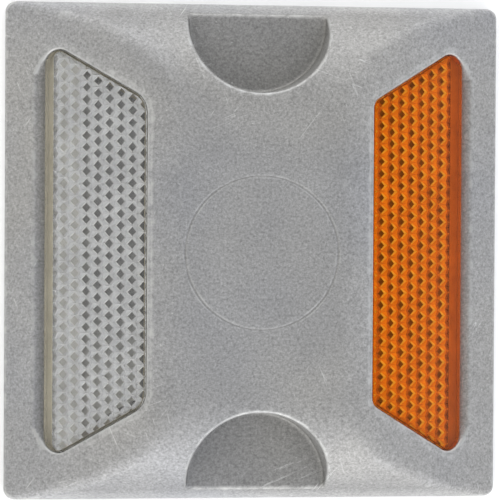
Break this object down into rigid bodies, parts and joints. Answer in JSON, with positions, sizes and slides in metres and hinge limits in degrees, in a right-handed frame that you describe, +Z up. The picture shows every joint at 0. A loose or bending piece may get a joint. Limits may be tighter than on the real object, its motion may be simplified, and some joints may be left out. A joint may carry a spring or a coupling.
{
  "type": "raised pavement marker",
  "caption": "Low square cast aluminium road marker with a clear and an amber prism reflector on its two sloped faces and a finger scoop in each rounded end.",
  "frame": {"origin": "middle of the base, on the road surface", "axes": "+Z up, +X towards the amber reflector, +Y along the reflectors towards one finger scoop"},
  "size_m": [0.1, 0.1, 0.02],
  "materials": {
    "cast_aluminium": "as-cast, fine sandy grain, light scuffs",
    "clear_acrylic": "clear moulded acrylic with moulded prisms on its back",
    "amber_acrylic": "amber moulded acrylic with moulded prisms on its back",
    "carrier_plastic": "grey moulded ABS",
    "seal_rubber": "dark closed-cell rubber",
    "screw_steel": "zinc-plated steel"
  },
  "bodies": {
    "root": {"body_casting": "cast_aluminium", "clear_lens": "clear_acrylic", "clear_carrier_plate": "carrier_plastic", "clear_lens_seal": "seal_rubber", "clear_fixing_screw_1": "screw_steel", "clear_fixing_screw_2": "screw_steel", "amber_lens": "amber_acrylic", "amber_carrier_plate": "carrier_plastic", "amber_lens_seal": "seal_rubber", "amber_fixing_screw_1": "screw_steel", "amber_fixing_screw_2": "screw_steel"}
  },
  "joints": []
}
